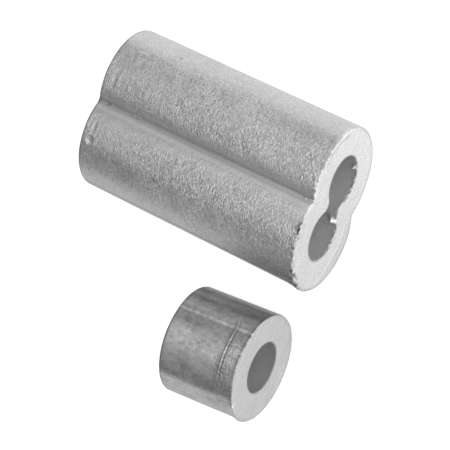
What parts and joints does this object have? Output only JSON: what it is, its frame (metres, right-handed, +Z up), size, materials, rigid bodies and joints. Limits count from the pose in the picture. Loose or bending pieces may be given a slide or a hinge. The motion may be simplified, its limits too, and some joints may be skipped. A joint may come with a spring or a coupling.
{
  "type": "wire rope ferrule and stop set",
  "caption": "Hourglass aluminium ferrule with joined rope bores for crimping a loop in wire rope, lying beside a short round stop sleeve for the end of the same rope.",
  "frame": {"origin": "on the table that both pieces lie on, under the middle of the pair", "axes": "+Z up, Y along the ferrule bores with the front mouths towards -Y, X across the two barrels with the stop sleeve on the -X side"},
  "size_m": [0.0316, 0.027, 0.0112],
  "materials": {
    "tumbled_aluminium": "extruded, cut off and tumbled: matte and grainy, with small dents and pits",
    "drawn_aluminium": "drawn tube: satin, with fine streaks along the bore"
  },
  "bodies": {
    "ferrule": {"double_barrel_ferrule": "tumbled_aluminium"},
    "stop": {"stop_sleeve": "drawn_aluminium"}
  },
  "joints": [
    {"name": "stop_slide", "type": "slide", "parent": "ferrule", "child": "stop", "axis": [-0.0872, 0.9962, 0], "range_m": [-0.026, 0.026]}
  ]
}
